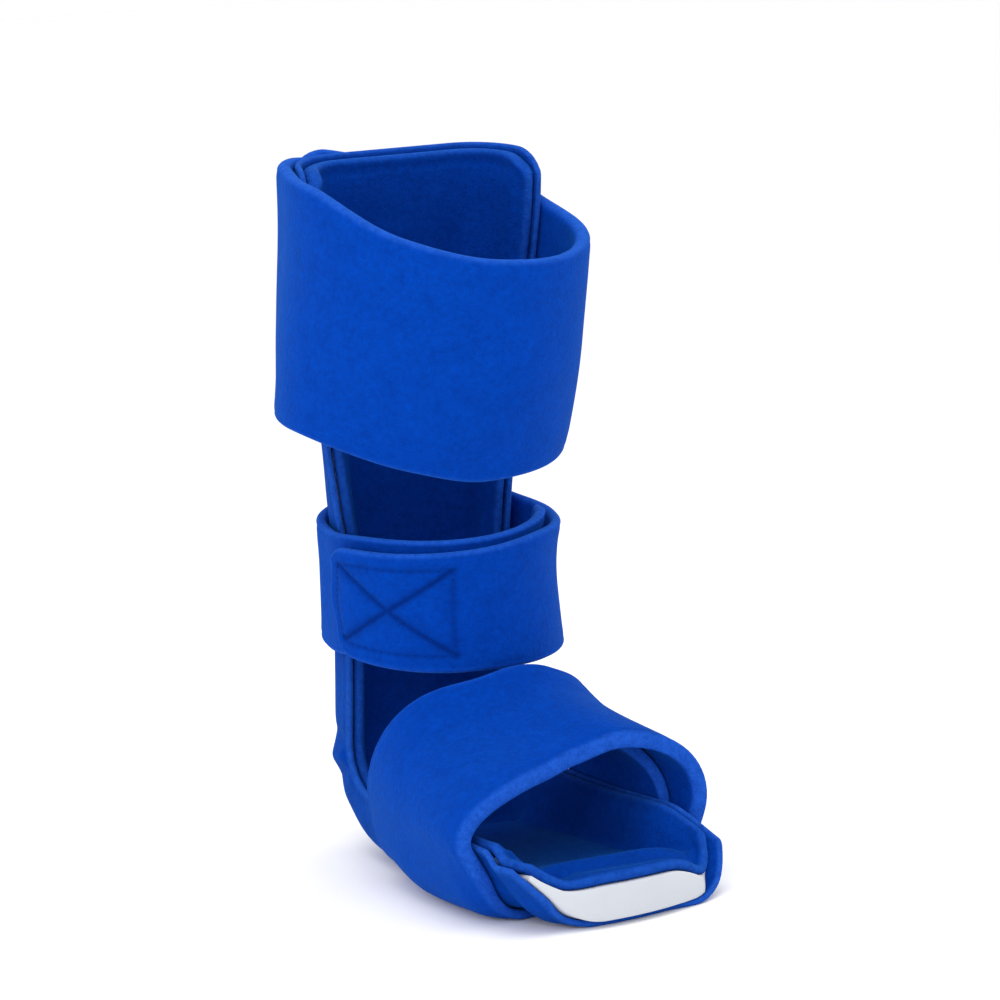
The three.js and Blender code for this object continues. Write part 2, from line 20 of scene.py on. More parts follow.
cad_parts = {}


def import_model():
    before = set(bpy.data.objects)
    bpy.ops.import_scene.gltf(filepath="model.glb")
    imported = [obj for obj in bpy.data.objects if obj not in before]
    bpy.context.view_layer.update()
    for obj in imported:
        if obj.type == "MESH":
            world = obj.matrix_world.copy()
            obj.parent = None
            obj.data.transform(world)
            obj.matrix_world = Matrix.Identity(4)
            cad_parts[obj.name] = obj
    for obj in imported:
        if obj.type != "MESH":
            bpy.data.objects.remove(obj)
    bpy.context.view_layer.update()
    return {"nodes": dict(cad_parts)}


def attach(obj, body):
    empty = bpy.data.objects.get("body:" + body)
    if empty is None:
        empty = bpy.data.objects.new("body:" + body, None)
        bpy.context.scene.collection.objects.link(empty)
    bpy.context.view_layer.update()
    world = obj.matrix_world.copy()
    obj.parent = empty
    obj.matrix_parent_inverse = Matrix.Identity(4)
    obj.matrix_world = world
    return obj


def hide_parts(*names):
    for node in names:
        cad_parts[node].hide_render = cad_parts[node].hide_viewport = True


LOG = logging.getLogger("night_splint")
Array = np.ndarray
Colour = tuple[float, float, float]
Place = tuple[float, float, float]
METRE = 0.001
EDGE_STEPS = np.array([0, 0.04, 0.14, 0.3, 0.52, 0.76])


# Curves and meshes


def smooth(low: float | Array, high: float | Array, value: float | Array) -> Array:
    """Smooth step from 0 at low to 1 at high.

    Args:
        low: Where the step starts.
        high: Where the step ends.
        value: Places asked for.

    Returns:
        The step's value at each place.
    """
    t = np.clip((np.asarray(value, float) - low) / (high - low), 0, 1)
    return t * t * (3 - 2 * t)


def bump(centre: float, reach: float, value: float | Array) -> Array:
    """Soft hump of height 1 at centre that dies out over reach."""
    return np.exp(-(((np.asarray(value, float) - centre) / reach) ** 2))


def roundness(distance: Array, edge: float, power: float = 2.0) -> Array:
    """Share of the full thickness at a distance from a round edge.

    Args:
        distance: Distance from the edge.
        edge: Distance at which the thickness is full.
        power: 2 for a round edge, more for a squarer one.

    Returns:
        Share from 0 to 1.
    """
    d = np.clip(distance / edge, 0, 1)
    return (1 - (1 - d) ** power) ** (1 / power)


@dataclass(frozen=True)
class Table:
    """Rows of values along a key, read on a smooth curve through them."""

    columns: tuple[str, ...]
    rows: tuple[tuple[float, ...], ...]

    def read(self, column: str, at: Array) -> Array:
        """Values of one column.

        Args:
            column: Name of the column.
            at: Places along the key, which is the first column.

        Returns:
            The column's value at each place.
        """
        keys = np.array([row[0] for row in self.rows], float)
        values = np.array([row[self.columns.index(column)] for row in self.rows], float)
        slopes = np.diff(values) / np.diff(keys)
        before, after = slopes[:-1], slopes[1:]
        total = np.where(before * after > 0, before + after, 1)
        tangents = np.zeros(len(keys))
        tangents[1:-1] = np.where(before * after > 0, 2 * before * after / total, 0)
        place = np.clip(at, keys[0], keys[-1])
        i = np.clip(np.searchsorted(keys, place, side="right") - 1, 0, len(keys) - 2)
        span = keys[i + 1] - keys[i]
        t = (place - keys[i]) / span
        m0, m1, rise = tangents[i] * span, tangents[i + 1] * span, slopes[i] * span
        return values[i] + m0 * t + (3 * rise - 2 * m0 - m1) * t**2 + (m0 + m1 - 2 * rise) * t**3


def graded(start: float, end: float, pitch: float, edge: float) -> Array:
    """Places from start to end, close together within edge of both ends.

    Args:
        start: First place.
        end: Last place.
        pitch: Step between the places away from the ends.
        edge: Length of the closely stepped ends.

    Returns:
        The places in order.
    """
    near = EDGE_STEPS * edge
    count = max(int(round((end - start - 2 * edge) / pitch)), 2)
    return np.concatenate([start + near, np.linspace(start + edge, end - edge, count + 1), end - near[::-1]])


def unevenness(points: Array, size: float, seed: int) -> Array:
    """Soft random swell of about unit height, the same each run.

    Args:
        points: Points in millimetres, in the last axis.
        size: Usual distance between two crests.
        seed: Number that picks the pattern.

    Returns:
        The swell at each point.
    """
    random = np.random.RandomState(seed)
    waves = np.zeros(points.shape[:-1])
    for _ in range(14):
        direction = random.normal(size=3)
        direction /= np.linalg.norm(direction)
        length = size * random.uniform(0.7, 1.8)
        waves += np.sin(points @ direction * (2 * math.pi / length) + random.uniform(0, 2 * math.pi))
    return waves / math.sqrt(14)


def piece_from(name: str, points: Array, faces: Sequence[Sequence[int]]) -> bpy.types.Object:
    """New smooth-shaded piece at the origin.

    Args:
        name: Name of the piece.
        points: Points in millimetres.
        faces: Corners of each face.

    Returns:
        The new object, linked to the scene.
    """
    mesh = bpy.data.meshes.new(name)
    mesh.from_pydata((points * METRE).tolist(), [], faces)
    mesh.polygons.foreach_set("use_smooth", np.ones(len(mesh.polygons), bool))
    mesh.update()
    piece = bpy.data.objects.new(name, mesh)
    bpy.context.scene.collection.objects.link(piece)
    return piece


def pad_piece(
    name: str, lower: Array, upper: Array, marks: dict[str, tuple[Array, Array]]
) -> bpy.types.Object:
    """Closed pad from its lower and upper grids of points, which share their outer edge.

    Args:
        name: Name of the piece.
        lower: Grid of points of the lower face.
        upper: Grid of points of the upper face.
        marks: Values from 0 to 1 on the lower and the upper grid, under the names of their attributes.

    Returns:
        The new piece, with each mark in an attribute.
    """
    rows, columns = upper.shape[:2]
    top = np.arange(rows * columns).reshape(rows, columns)
    inner = np.zeros((rows, columns), bool)
    inner[1:-1, 1:-1] = True
    under = top.copy()
    under[inner] = rows * columns + np.arange(inner.sum())
    points = np.concatenate([upper.reshape(-1, 3), lower[inner]])
    up = np.stack([top[:-1, :-1], top[1:, :-1], top[1:, 1:], top[:-1, 1:]], -1).reshape(-1, 4)
    down = np.stack([under[:-1, :-1], under[:-1, 1:], under[1:, 1:], under[1:, :-1]], -1).reshape(-1, 4)
    piece = piece_from(name, points, np.concatenate([up, down]).tolist())
    for label, (below, above) in marks.items():
        values = np.concatenate([above.reshape(-1), below[inner]]).astype(np.float32)
        piece.data.attributes.new(label, "FLOAT", "POINT").data.foreach_set("value", values)
    return piece


# Form of the trough and of its open front


@dataclass(frozen=True)
class Half:
    """Half of the trough's section at each place: flat back, round corner and straight wing."""

    side: Array
    flat: Array
    corner: Array
    turn: Array
    wing: Array

    @property
    def bend(self) -> Array:
        """Run from the middle to the end of the corner."""
        return self.flat + self.corner * self.turn

    @property
    def length(self) -> Array:
        """Run from the middle to the rim."""
        return self.bend + self.wing

    def point(self, run: Array, offset: Array | float) -> tuple[Array, Array]:
        """Point at a run from the middle, moved inwards by an offset.

        Args:
            run: Run along the outer face.
            offset: Distance from the outer face into the trough.

        Returns:
            Place across and inwards.
        """
        turn = np.clip((run - self.flat) / self.corner, 0, self.turn)
        straight = np.maximum(run - self.bend, 0)
        x = np.minimum(run, self.flat) + self.corner * np.sin(turn) + straight * np.cos(turn)
        inward = self.corner * (1 - np.cos(turn)) + straight * np.sin(turn)
        return self.side * (x - offset * np.sin(turn)), inward + offset * np.cos(turn)


@dataclass(frozen=True)
class TroughForm:
    """Run and section of the trough, and the open front that the straps are drawn over."""

    toe_reach: float = 190.0
    heel_reach: float = 65.0
    heel_radius: float = 62.0
    shin_length: float = 301.0
    lean: float = math.radians(9)
    sole_half: float = 51.0
    sole_wing: float = 38.0
    shin_half: float = 52.0
    shin_wing: float = 36.0
    calf_half: float = 65.0
    calf_wing: float = 42.0
    toe_body: float = 50.0
    instep: float = 87.0
    ankle_depth: float = 86.0
    calf_depth: float = 118.0
    tuck: float = 6.2
    tuck_start: float = 161.5
    tuck_end: float = 31.28
    tuck_ease: float = 14.0
    toe_ease: float = 9.5
    stack: float = 12.6
    nose_rounding: float = 30.0
    nose_outer_rounding: float = 10.0
    nose_rim: float = 4.0
    top_corner: float = 16.0
    nose_thickness: float = 17.0
    nose_ramp: float = 75.0

    @property
    def heel_turn(self) -> float:
        """Angle of the heel's bend."""
        return math.pi / 2 + self.lean

    @property
    def sole_length(self) -> float:
        """Run from the toe to the heel's bend."""
        return self.toe_reach + self.heel_reach - self.heel_radius

    @property
    def shin_start(self) -> float:
        """Run from the toe to the end of the heel's bend."""
        return self.sole_length + self.heel_radius * self.heel_turn

    @property
    def length(self) -> float:
        """Whole run from the toe to the top."""
        return self.shin_start + self.shin_length

    def sole(self, share: float) -> float:
        """Place along the sole, 0 over the origin and 1 at the toe end."""
        return self.toe_reach * (1 - share)

    def heel(self, share: float) -> float:
        """Place along the heel's bend."""
        return self.sole_length + share * self.heel_radius * self.heel_turn

    def shin(self, share: float) -> float:
        """Place along the shin, 1 at the top."""
        return self.shin_start + share * self.shin_length

    @cached_property
    def sections(self) -> Table:
        """Half widths, wing heights, corner radius and outward flare along the trough."""
        s, w = self.sole_half, self.sole_wing
        k, v = self.shin_half, self.shin_wing
        c, u = self.calf_half, self.calf_wing
        rows = (
            (self.sole(1), 0.98 * s, 1.5 * s, 0.87 * w, 0.38 * w, 0.68 * s, 42),
            (self.sole(0.86), 1.06 * s, 1.48 * s, 0.88 * w, 0.46 * w, 0.58 * s, 33),
            (self.sole(0.72), 1.12 * s, 1.18 * s, 0.95 * w, 0.94 * w, 0.32 * s, 17),
            (self.sole(0.45), 1.12 * s, s, w, w, 0.34 * s, 10),
            (self.sole(0.15), s, 0.92 * s, w, 1.06 * w, 0.46 * s, 8),
            (self.heel(0.1), 0.92 * s, 0.88 * s, 1.02 * w, 1.12 * w, 0.44 * s, 6),
            (self.heel(0.5), 0.9 * k, 0.88 * k, 1.1 * v, 1.1 * v, 0.46 * k, 5),
            (self.heel(0.9), 0.9 * k, 0.92 * k, 1.15 * v, 1.15 * v, 0.48 * k, 6),
            (self.shin(0.141), 0.9 * k, 0.94 * k, 1.2 * v, 1.2 * v, 0.52 * k, 5),
            (self.shin(0.283), 0.9 * k, 0.9 * k, 1.18 * v, 1.18 * v, 0.52 * k, 4),
            (self.shin(0.407), 0.98 * k, 0.96 * k, 1.08 * v, 1.08 * v, 0.54 * k, 9),
            (self.shin(0.529), 1.07 * k, 1.07 * k, v, v, 0.54 * k, 16),
            (self.shin(0.713), 0.98 * c, 0.92 * c, 0.95 * u, 0.95 * u, 0.48 * c, 14),
            (self.shin(1), 1.04 * c, c, u, u, 0.48 * c, 12),
        )
        return Table(("at", "outer_half", "inner_half", "outer", "inner", "corner", "flare"), rows)

    @cached_property
    def fronts(self) -> Table:
        """Open front: distance from the liner, place of the crest and width of the shoulders."""
        rows = (
            (self.sole(1), 0.72 * self.toe_body, 0.36, 0.66),
            (self.sole(0.7), self.toe_body, 0.36, 0.66),
            (self.sole(0.45), 0.72 * self.instep, 0.2, 0.6),
            (self.sole(0.2), self.instep, 0.08, 0.5),
            (self.heel(0.6), self.ankle_depth, 0, 0.55),
            (self.shin(0.283), self.ankle_depth, 0, 0.6),
            (self.shin(0.489), 1.1 * self.ankle_depth, 0, 0.62),
            (self.shin(0.713), 0.96 * self.calf_depth, 0, 0.62),
            (self.shin(1), self.calf_depth, 0, 0.62),
        )
        return Table(("at", "front", "crest", "shoulder"), rows)

    def half(self, at: Array, side: Array | float) -> Half:
        """Half of the section.

        Args:
            at: Places along the trough.
            side: -1 for the outer side, 1 for the inner side.

        Returns:
            The half section at each place.
        """
        at, side = np.broadcast_arrays(np.asarray(at, float), np.asarray(side, float))
        flare = np.radians(self.sections.read("flare", at))
        corner = self.sections.read("corner", at)
        height = np.where(side < 0, self.sections.read("outer", at), self.sections.read("inner", at))
        width = np.where(side < 0, self.sections.read("outer_half", at), self.sections.read("inner_half", at))
        turn = math.pi / 2 - flare
        wing = np.maximum((height - corner * (1 - np.cos(turn))) / np.sin(turn), 1)
        flat = width - corner * np.sin(turn) - wing * np.cos(turn)
        return Half(side, flat, corner, turn, wing)

    def place(self, at: Array, x: Array, inward: Array) -> Array:
        """Points in space.

        Args:
            at: Places along the trough.
            x: Places across.
            inward: Distances from the outer face into the trough.

        Returns:
            Points, with their coordinates in the last axis.
        """
        step = 1 - smooth(self.tuck_start, self.tuck_start + self.tuck_ease, at)
        step = step * smooth(self.tuck_end - self.toe_ease, self.tuck_end, at)
        turn = np.clip((at - self.sole_length) / self.heel_radius, 0, self.heel_turn)
        up = np.maximum(at - self.shin_start, 0)
        rest = self.heel_radius - inward
        back = self.heel_reach - self.heel_radius + rest * np.sin(turn) - up * math.sin(self.lean)
        high = self.heel_radius - rest * np.cos(turn) + up * math.cos(self.lean)
        flat = at <= self.sole_length
        y = np.where(flat, at - self.toe_reach, back)
        z = np.where(flat, self.tuck * step + inward, high)
        return np.stack([x, y, z], -1)

    def nose_edge(self, share: Array) -> Array:
        """Rounded front of the shell at a share of the way to its rim, below 0 on the outer side."""
        return np.where(share < 0, self.nose_outer_rounding, self.nose_rounding) * share * share

    def nose_rise(self, at: Array, half: Half, run: Array, sheet: float) -> Array:
        """Rise of the shell's upper face over its thick toe end, none at the rims.

        Args:
            at: Places along the trough.
            half: Half sections there.
            run: Runs from the middle.
            sheet: Thickness of the shell elsewhere.

        Returns:
            Rise at each point.
        """
        along = 1 - smooth(0, self.nose_ramp, at)
        end = np.where(half.side < 0, half.length - self.nose_rim, half.bend)
        return (self.nose_thickness - sheet) * along * (1 - smooth(0.7 * half.flat, end, run))


class StrapLoops:
    """Closed lines round the trough's outside and over its open front, tabulated along it."""

    def __init__(self, form: TroughForm, pitch: float = 1.5, turns: int = 720) -> None:
        """Tabulates the loops.

        Args:
            form: Trough that the loops go round.
            pitch: Step along the trough.
            turns: Number of points of each loop.
        """
        self.form = form
        self.turns = turns
        self.ats = np.linspace(0, form.length, int(form.length / pitch) + 1)
        self.lengths = np.zeros(len(self.ats))
        self.table = np.zeros((len(self.ats), turns, 4))
        for k, at in enumerate(self.ats):
            line = self._line(float(at))
            lengths = np.concatenate([[0], np.cumsum(np.linalg.norm(np.diff(line, axis=0), axis=1))])
            wanted = np.arange(turns) / turns * lengths[-1]
            even = np.stack([np.interp(wanted, lengths, line[:, c]) for c in (0, 1)], -1)
            tangent = np.roll(even, -2, 0) - np.roll(even, 2, 0)
            tangent /= np.linalg.norm(tangent, axis=1)[:, None]
            self.lengths[k] = lengths[-1]
            self.table[k, :, :2] = even
            self.table[k, :, 2] = -tangent[:, 1]
            self.table[k, :, 3] = tangent[:, 0]

    def _line(self, at: float) -> Array:
        """Points of one loop, from the middle of the back round the outer side first."""
        form = self.form
        front = form.stack + float(form.fronts.read("front", at))
        shoulder = float(form.fronts.read("shoulder", at))
        rim = form.half(at, 1.0)
        crest = float(form.fronts.read("crest", at)) * float(rim.point(rim.length, 0)[0])
        halves = []
        for side in (-1.0, 1.0):
            half = form.half(at, side)
            x, inward = half.point(np.linspace(0, float(half.length), 60), 0)
            start = np.array([x[-1], inward[-1]])
            along = np.array([side * math.cos(half.turn), math.sin(half.turn)]) * 0.55 * (front - start[1])
            knots = [start, start + along, np.array([crest + shoulder * (start[0] - crest), front])]
            knots.append(np.array([crest, front]))
            t = np.linspace(0, 1, 60)[1:, None]
            curve = (1 - t) ** 3 * knots[0] + 3 * t * (1 - t) ** 2 * knots[1]
            curve = curve + 3 * t**2 * (1 - t) * knots[2] + t**3 * knots[3]
            halves.append(np.concatenate([np.stack([x, inward], -1), curve]))
        return np.concatenate([halves[0], halves[1][::-1][1:]])

    def loop_length(self, at: float) -> float:
        """Length of the loop at a place."""
        return float(np.interp(at, self.ats, self.lengths))

    def points(self, at: Array, turn: Array, outwards: Array) -> Array:
        """Points in space on the loops, moved outwards.

        Args:
            at: Places along the trough.
            turn: Shares of the way round.
            outwards: Distances from the trough's outside.

        Returns:
            Points, with their coordinates in the last axis.
        """
        row = np.clip(at / self.ats[1], 0, len(self.ats) - 1.001)
        i = row.astype(int)
        u = (row - i)[..., None]
        column = np.mod(turn, 1) * self.turns
        j = column.astype(int) % self.turns
        v = (column - np.floor(column))[..., None]
        j1 = (j + 1) % self.turns
        value = (1 - u) * ((1 - v) * self.table[i, j] + v * self.table[i, j1])
        value = value + u * ((1 - v) * self.table[i + 1, j] + v * self.table[i + 1, j1])
        x = value[..., 0] + value[..., 2] * outwards
        inward = value[..., 1] + value[..., 3] * outwards
        return self.form.place(at, x, inward)


# Finishes


class Slot(Enum):
    """Material slots of the record."""

    COVER = "cover_cloth"
    LINER = "liner_cloth"
    STRAP = "strap_cloth"
    SHELL = "shell_plastic"
    HOOKS = "hook_tape"


def add_node(tree: bpy.types.NodeTree, kind: str, **values: object) -> bpy.types.Node:
    """New node with its properties and unlinked inputs set.

    Args:
        tree: Node tree that gets the node.
        kind: Blender's name of the node type.
        **values: Properties, or inputs with spaces written as underscores.

    Returns:
        The node.
    """
    node = tree.nodes.new(kind)
    for key, value in values.items():
        if hasattr(node, key):
            setattr(node, key, value)
        else:
            node.inputs[key.replace("_", " ")].default_value = value
    return node


def mixed(tree: bpy.types.NodeTree, factor: object, first: object, second: object) -> bpy.types.NodeSocket:
    """Colour mixed from two.

    Args:
        tree: Node tree that gets the node.
        factor: Socket or number that goes from the first to the second.
        first: Socket or colour.
        second: Socket or colour.

    Returns:
        Socket of the mixed colour.
    """
    node = tree.nodes.new("ShaderNodeMix")
    node.data_type = "RGBA"
    for index, value in ((0, factor), (6, first), (7, second)):
        if isinstance(value, bpy.types.NodeSocket):
            tree.links.new(value, node.inputs[index])
        elif isinstance(value, (int, float)):
            node.inputs[index].default_value = value
        else:
            node.inputs[index].default_value = (*value, 1)
    return node.outputs[2]


def sum_of(tree: bpy.types.NodeTree, operation: str, first: object, second: object) -> bpy.types.NodeSocket:
    """Result of one maths node.

    Args:
        tree: Node tree that gets the node.
        operation: Blender's name of the operation.
        first: Socket or number.
        second: Socket or number.

    Returns:
        Socket of the result.
    """
    node = tree.nodes.new("ShaderNodeMath")
    node.operation = operation
    for index, value in enumerate((first, second)):
        if isinstance(value, bpy.types.NodeSocket):
            tree.links.new(value, node.inputs[index])
        else:
            node.inputs[index].default_value = value
    return node.outputs[0]


def new_group(
    name: str, inputs: Sequence[tuple[str, str, object]], outputs: Sequence[tuple[str, str]]
) -> bpy.types.NodeTree:
    """Empty shader node group.

    Args:
        name: Name of the group.
        inputs: Name, socket type and default of each input.
        outputs: Name and socket type of each output.

    Returns:
        The group, with its input and output nodes.
    """
    group = bpy.data.node_groups.new(name, "ShaderNodeTree")
    for label, kind, default in inputs:
        socket = group.interface.new_socket(name=label, in_out="INPUT", socket_type=kind)
        if default is not None:
            socket.default_value = default
    for label, kind in outputs:
        group.interface.new_socket(name=label, in_out="OUTPUT", socket_type=kind)
    group.nodes.new("NodeGroupInput")
    group.nodes.new("NodeGroupOutput")
    return group


def brushed_nap() -> bpy.types.NodeTree:
    """Group for the brushed loop pile of the cloth: its height, its fibres' tone and its slow mottle."""
    name = "Brushed nap"
    if name in bpy.data.node_groups:
        return bpy.data.node_groups[name]
    number = "NodeSocketFloat"
    inputs = (
        ("Vector", "NodeSocketVector", None),
        ("Pile per metre", number, 900.0),
        ("Mottle per metre", number, 90.0),
    )
    group = new_group(name, inputs, (("Height", number), ("Fibres", number), ("Mottle", number)))
    source, sink = group.nodes["Group Input"], group.nodes["Group Output"]
    pile = add_node(group, "ShaderNodeTexNoise", Detail=3.0, Roughness=0.65, Distortion=0.35)
    tuft = add_node(group, "ShaderNodeTexNoise", Detail=2.0, Roughness=0.5)
    slow = add_node(group, "ShaderNodeTexNoise", Detail=4.0, Roughness=0.6)
    for node in (pile, tuft, slow):
        group.links.new(source.outputs["Vector"], node.inputs["Vector"])
    group.links.new(source.outputs["Pile per metre"], pile.inputs["Scale"])
    group.links.new(sum_of(group, "MULTIPLY", source.outputs["Pile per metre"], 0.33), tuft.inputs["Scale"])
    group.links.new(source.outputs["Mottle per metre"], slow.inputs["Scale"])
    both = sum_of(group, "ADD", pile.outputs[0], sum_of(group, "MULTIPLY", tuft.outputs[0], 0.8))
    group.links.new(both, sink.inputs["Height"])
    group.links.new(sum_of(group, "MULTIPLY", both, 0.55), sink.inputs["Fibres"])
    group.links.new(slow.outputs[0], sink.inputs["Mottle"])
    return group


def ramp(
    tree: bpy.types.NodeTree, value: bpy.types.NodeSocket, low: float, high: float
) -> bpy.types.NodeSocket:
    """Value stretched from low..high to 0..1.

    Args:
        tree: Node tree that gets the node.
        value: Socket that is stretched.
        low: Value that becomes 0.
        high: Value that becomes 1.

    Returns:
        Socket of the stretched value.
    """
    node = add_node(tree, "ShaderNodeMapRange", clamp=True)
    tree.links.new(value, node.inputs["Value"])
    node.inputs["From Min"].default_value = low
    node.inputs["From Max"].default_value = high
    return node.outputs["Result"]


def new_material(
    name: str,
) -> tuple[bpy.types.Material, bpy.types.NodeTree, bpy.types.Node, bpy.types.NodeSocket]:
    """Material with its Principled shader and Object coordinates.

    Args:
        name: Name of the material.

    Returns:
        The material, its node tree, its shader and the coordinates' socket.
    """
    material = bpy.data.materials.new(name)
    material.use_nodes = True
    tree = material.node_tree
    shader = tree.nodes["Principled BSDF"]
    coordinates = tree.nodes.new("ShaderNodeTexCoord").outputs["Object"]
    return material, tree, shader, coordinates


@dataclass(frozen=True)
class NapFinish:
    """Brushed loop cloth on foam: dark between its fibres, lighter at their tips, with a painted highlight on
    its rims and painted shade in its stitch dents.
    """

    name: str
    slot: Slot
    deep: Colour
    main: Colour
    # Colour of the painted highlight along the rims.
    rim_highlight: Colour
    # Colour of the painted shade in the stitch dents.
    seam: Colour = (0.0, 0.012, 0.12)
    sheen: float = 0.14
    pile: float = 900.0

    def material(self) -> bpy.types.Material:
        """The finish as a material."""
        material, tree, shader, coordinates = new_material(self.name)
        nap = tree.nodes.new("ShaderNodeGroup")
        nap.node_tree = brushed_nap()
        nap.inputs["Pile per metre"].default_value = self.pile
        tree.links.new(coordinates, nap.inputs["Vector"])
        slow = ramp(tree, nap.outputs["Mottle"], 0.3, 0.7)
        fibres = ramp(tree, nap.outputs["Fibres"], 0.3, 0.72)
        mottled = sum_of(tree, "MULTIPLY", slow, 0.25)
        brushed = sum_of(tree, "MULTIPLY", fibres, 0.75)
        body = mixed(tree, sum_of(tree, "ADD", mottled, brushed), self.deep, self.main)
        # Painted highlight: the rim mark lightens the colour towards the highlight colour along the rounded
        # edges.
        rim = add_node(tree, "ShaderNodeAttribute", attribute_name="rim")
        highlight_strength = sum_of(tree, "ADD", sum_of(tree, "MULTIPLY", fibres, 0.36), 0.16)
        highlight_share = sum_of(tree, "MULTIPLY", rim.outputs["Fac"], highlight_strength)
        # Painted shade: the sewn mark darkens the colour towards the seam colour in the stitch dents.
        sewn = add_node(tree, "ShaderNodeAttribute", attribute_name="sewn")
        dent_shaded = mixed(tree, sum_of(tree, "MULTIPLY", sewn.outputs["Fac"], 0.75), body, self.seam)
        tree.links.new(mixed(tree, highlight_share, dent_shaded, self.rim_highlight), shader.inputs["Base Color"])
        rough = sum_of(tree, "ADD", sum_of(tree, "MULTIPLY", fibres, 0.14), 0.78)
        tree.links.new(rough, shader.inputs["Roughness"])
        relief = add_node(tree, "ShaderNodeBump", Strength=0.7, Distance=0.0008)
        tree.links.new(nap.outputs["Height"], relief.inputs["Height"])
        tree.links.new(relief.outputs["Normal"], shader.inputs["Normal"])
        shader.inputs["Specular IOR Level"].default_value = 0.03
        shader.inputs["Sheen Weight"].default_value = self.sheen
        shader.inputs["Sheen Roughness"].default_value = 0.35
        shader.inputs["Sheen Tint"].default_value = (0.06, 0.5, 1.0, 1.0)
        return material


@dataclass(frozen=True)
class MouldedFinish:
    """Matt moulded plastic with a fine grain."""

    name: str
    slot: Slot
    main: Colour
    shade: Colour

    def material(self) -> bpy.types.Material:
        """The finish as a material."""
        material, tree, shader, coordinates = new_material(self.name)
        cloud = add_node(tree, "ShaderNodeTexNoise", Scale=45.0, Detail=3.0)
        grain = add_node(tree, "ShaderNodeTexNoise", Scale=1500.0, Detail=2.0)
        for node in (cloud, grain):
            tree.links.new(coordinates, node.inputs["Vector"])
        tone = ramp(tree, cloud.outputs[0], 0.3, 0.7)
        tree.links.new(mixed(tree, tone, self.shade, self.main), shader.inputs["Base Color"])
        rough = sum_of(tree, "ADD", sum_of(tree, "MULTIPLY", cloud.outputs[0], 0.2), 0.4)
        tree.links.new(rough, shader.inputs["Roughness"])
        relief = add_node(tree, "ShaderNodeBump", Strength=0.25, Distance=0.0002)
        tree.links.new(grain.outputs[0], relief.inputs["Height"])
        tree.links.new(relief.outputs["Normal"], shader.inputs["Normal"])
        shader.inputs["Subsurface Weight"].default_value = 0.08
        shader.inputs["Subsurface Radius"].default_value = (0.004, 0.004, 0.005)
        return material


@dataclass(frozen=True)
class HookFinish:
    """Tape of fine stiff hooks in rows."""

    name: str
    slot: Slot
    main: Colour
    gap: Colour

    def material(self) -> bpy.types.Material:
        """The finish as a material."""
        material, tree, shader, coordinates = new_material(self.name)
        hooks = add_node(tree, "ShaderNodeTexVoronoi", Scale=620.0, Randomness=0.25)
        tree.links.new(coordinates, hooks.inputs["Vector"])
        dots = ramp(tree, hooks.outputs["Distance"], 0.55, 0.15)
        tree.links.new(mixed(tree, dots, self.gap, self.main), shader.inputs["Base Color"])
        relief = add_node(tree, "ShaderNodeBump", Strength=0.8, Distance=0.0006)
        tree.links.new(dots, relief.inputs["Height"])
        tree.links.new(relief.outputs["Normal"], shader.inputs["Normal"])
        shader.inputs["Roughness"].default_value = 0.5
        return material


@dataclass(frozen=True)
class ThreadFinish:
    """Twisted sewing thread."""

    name: str
    slot: Slot
    main: Colour
    shade: Colour

    def material(self) -> bpy.types.Material:
        """The finish as a material."""
        material, tree, shader, coordinates = new_material(self.name)
        twist = add_node(tree, "ShaderNodeTexNoise", Scale=2600.0, Detail=1.0)
        tree.links.new(coordinates, twist.inputs["Vector"])
        tone = ramp(tree, twist.outputs[0], 0.35, 0.65)
        tree.links.new(mixed(tree, tone, self.shade, self.main), shader.inputs["Base Color"])
        shader.inputs["Roughness"].default_value = 0.8
        shader.inputs["Specular IOR Level"].default_value = 0.06
        return material


def dress(piece: bpy.types.Object, material: bpy.types.Material) -> None:
    """Gives the piece that one material."""
    piece.data.materials.clear()
    piece.data.materials.append(material)


# Trough: cover, shell and liner


